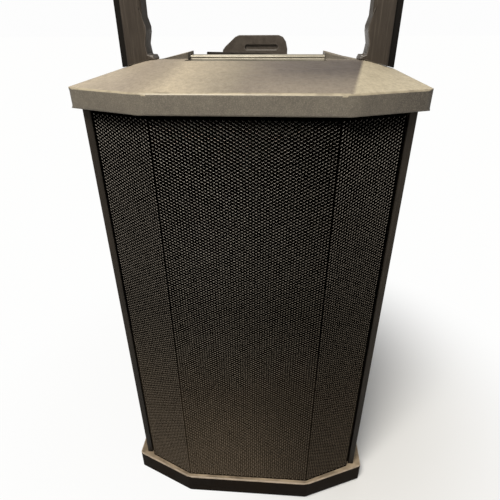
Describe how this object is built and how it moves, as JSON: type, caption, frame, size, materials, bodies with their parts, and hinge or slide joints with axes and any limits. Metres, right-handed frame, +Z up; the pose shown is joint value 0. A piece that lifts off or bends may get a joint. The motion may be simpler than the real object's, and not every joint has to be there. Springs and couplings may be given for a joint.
{
  "type": "line array speaker bass cabinet",
  "caption": "Faceted bass cabinet of a portable line array speaker, with a folded perforated grille, carrying bar, rear amplifier panel and a plug-in U-shaped array stand.",
  "frame": {"origin": "on the floor under the middle of the cabinet's footprint", "axes": "+Z up, the grille faces -Y, +X to the right seen from the front"},
  "size_m": [0.41, 0.446, 1.23],
  "materials": {
    "cap_plastic": "fine-textured moulded plastic, warm dark grey",
    "base_plastic": "fine-textured moulded plastic, dark brown-grey",
    "body_plastic": "textured black plastic",
    "grille_steel": "perforated steel sheet, black powder coat",
    "acoustic_cloth": "thin black cloth",
    "rubber": "black rubber",
    "bar_metal": "satin grooved bar, warm light finish",
    "stand_plastic": "textured dark taupe plastic",
    "spigot_steel": "black powder coat",
    "fastener": "black zinc",
    "baffle_board": "plywood painted black",
    "brace_board": "birch plywood",
    "cast_frame": "cast, black paint",
    "ferrite": "dark grey ferrite",
    "motor_steel": "zinc-plated steel",
    "cone_pulp": "black pressed pulp",
    "roll_rubber": "soft rubber roll",
    "spider_cloth": "resin-treated woven cloth",
    "coil_copper": "copper winding",
    "panel_metal": "fine black powder coat",
    "fin_metal": "black anodised",
    "circuit": "green circuit board",
    "connector_plastic": "black nylon",
    "control_plastic": "satin black",
    "lamp_plastic": "clear tinted lens",
    "wire": "insulated wire"
  },
  "bodies": {
    "cabinet": {"cabinet_shell": "body_plastic", "front_baffle": "baffle_board", "window_brace": "brace_board", "top_cap": "cap_plastic", "base_cap": "base_plastic", "rubber_feet": "rubber", "front_grille": "grille_steel", "grille_cloth": "acoustic_cloth", "handle_bar": "bar_metal", "hand_pocket": "body_plastic", "left_leg_socket": "body_plastic", "right_leg_socket": "body_plastic", "left_handle_cup": "body_plastic", "right_handle_cup": "body_plastic", "case_screws": "fastener", "catch_pin": "motor_steel", "woofer_screws": "fastener", "left_port": "body_plastic", "right_port": "body_plastic", "rear_panel": "panel_metal", "heatsink": "fin_metal", "amplifier_board": "circuit", "power_supply": "circuit", "power_inlet": "connector_plastic", "rocker_bezel": "connector_plastic", "line_inputs": "connector_plastic", "line_outputs": "connector_plastic", "level_control": "motor_steel", "status_lights": "lamp_plastic", "speaker_leads": "wire", "upper_basket": "cast_frame", "upper_surround": "roll_rubber", "upper_spider": "spider_cloth", "upper_top_plate": "motor_steel", "upper_magnet": "ferrite", "upper_back_plate": "motor_steel", "lower_basket": "cast_frame", "lower_surround": "roll_rubber", "lower_spider": "spider_cloth", "lower_top_plate": "motor_steel", "lower_magnet": "ferrite", "lower_back_plate": "motor_steel"},
    "stand": {"left_leg": "stand_plastic", "right_leg": "stand_plastic", "left_leg_strip": "rubber", "right_leg_strip": "rubber", "stand_crossbar": "stand_plastic", "speaker_spigot": "spigot_steel", "stand_bolts": "fastener"},
    "catch": {"stand_catch": "stand_plastic"},
    "upper_cone_set": {"upper_cone": "cone_pulp", "upper_dust_cap": "cone_pulp", "upper_voice_coil": "coil_copper"},
    "lower_cone_set": {"lower_cone": "cone_pulp", "lower_dust_cap": "cone_pulp", "lower_voice_coil": "coil_copper"},
    "knob": {"level_knob": "control_plastic"},
    "rocker": {"power_rocker": "control_plastic"},
    "polarity_key": {"polarity_button": "control_plastic"},
    "filter_key": {"filter_button": "control_plastic"}
  },
  "joints": [
    {"name": "stand_lift", "type": "slide", "parent": "cabinet", "child": "stand", "axis": [0, 0, 1], "range_m": [0, 0.12]},
    {"name": "catch_tilt", "type": "hinge", "parent": "cabinet", "child": "catch", "pos_m": [0, 0.2005, 0.682], "axis": [1, 0, 0], "range_deg": [-20, 0], "stiffness_Nm_per_rad": 0.6},
    {"name": "level_turn", "type": "hinge", "parent": "cabinet", "child": "knob", "pos_m": [-0.045, 0.2, 0.555], "axis": [0, 1, 0], "range_deg": [-150, 150]},
    {"name": "rocker_tilt", "type": "hinge", "parent": "cabinet", "child": "rocker", "pos_m": [0.008, 0.19, 0.445], "axis": [1, 0, 0], "range_deg": [0, 20]},
    {"name": "upper_cone_stroke", "type": "slide", "parent": "cabinet", "child": "upper_cone_set", "axis": [0, -1, 0], "range_m": [-0.006, 0.006], "stiffness_N_per_m": 4500, "deforming": ["upper_surround", "upper_spider"]},
    {"name": "lower_cone_stroke", "type": "slide", "parent": "cabinet", "child": "lower_cone_set", "axis": [0, -1, 0], "range_m": [-0.006, 0.006], "stiffness_N_per_m": 4500, "deforming": ["lower_surround", "lower_spider"]},
    {"name": "polarity_press", "type": "slide", "parent": "cabinet", "child": "polarity_key", "axis": [0, -1, 0], "range_m": [0, 0.003], "stiffness_N_per_m": 400},
    {"name": "filter_press", "type": "slide", "parent": "cabinet", "child": "filter_key", "axis": [0, -1, 0], "range_m": [0, 0.003], "stiffness_N_per_m": 400}
  ]
}
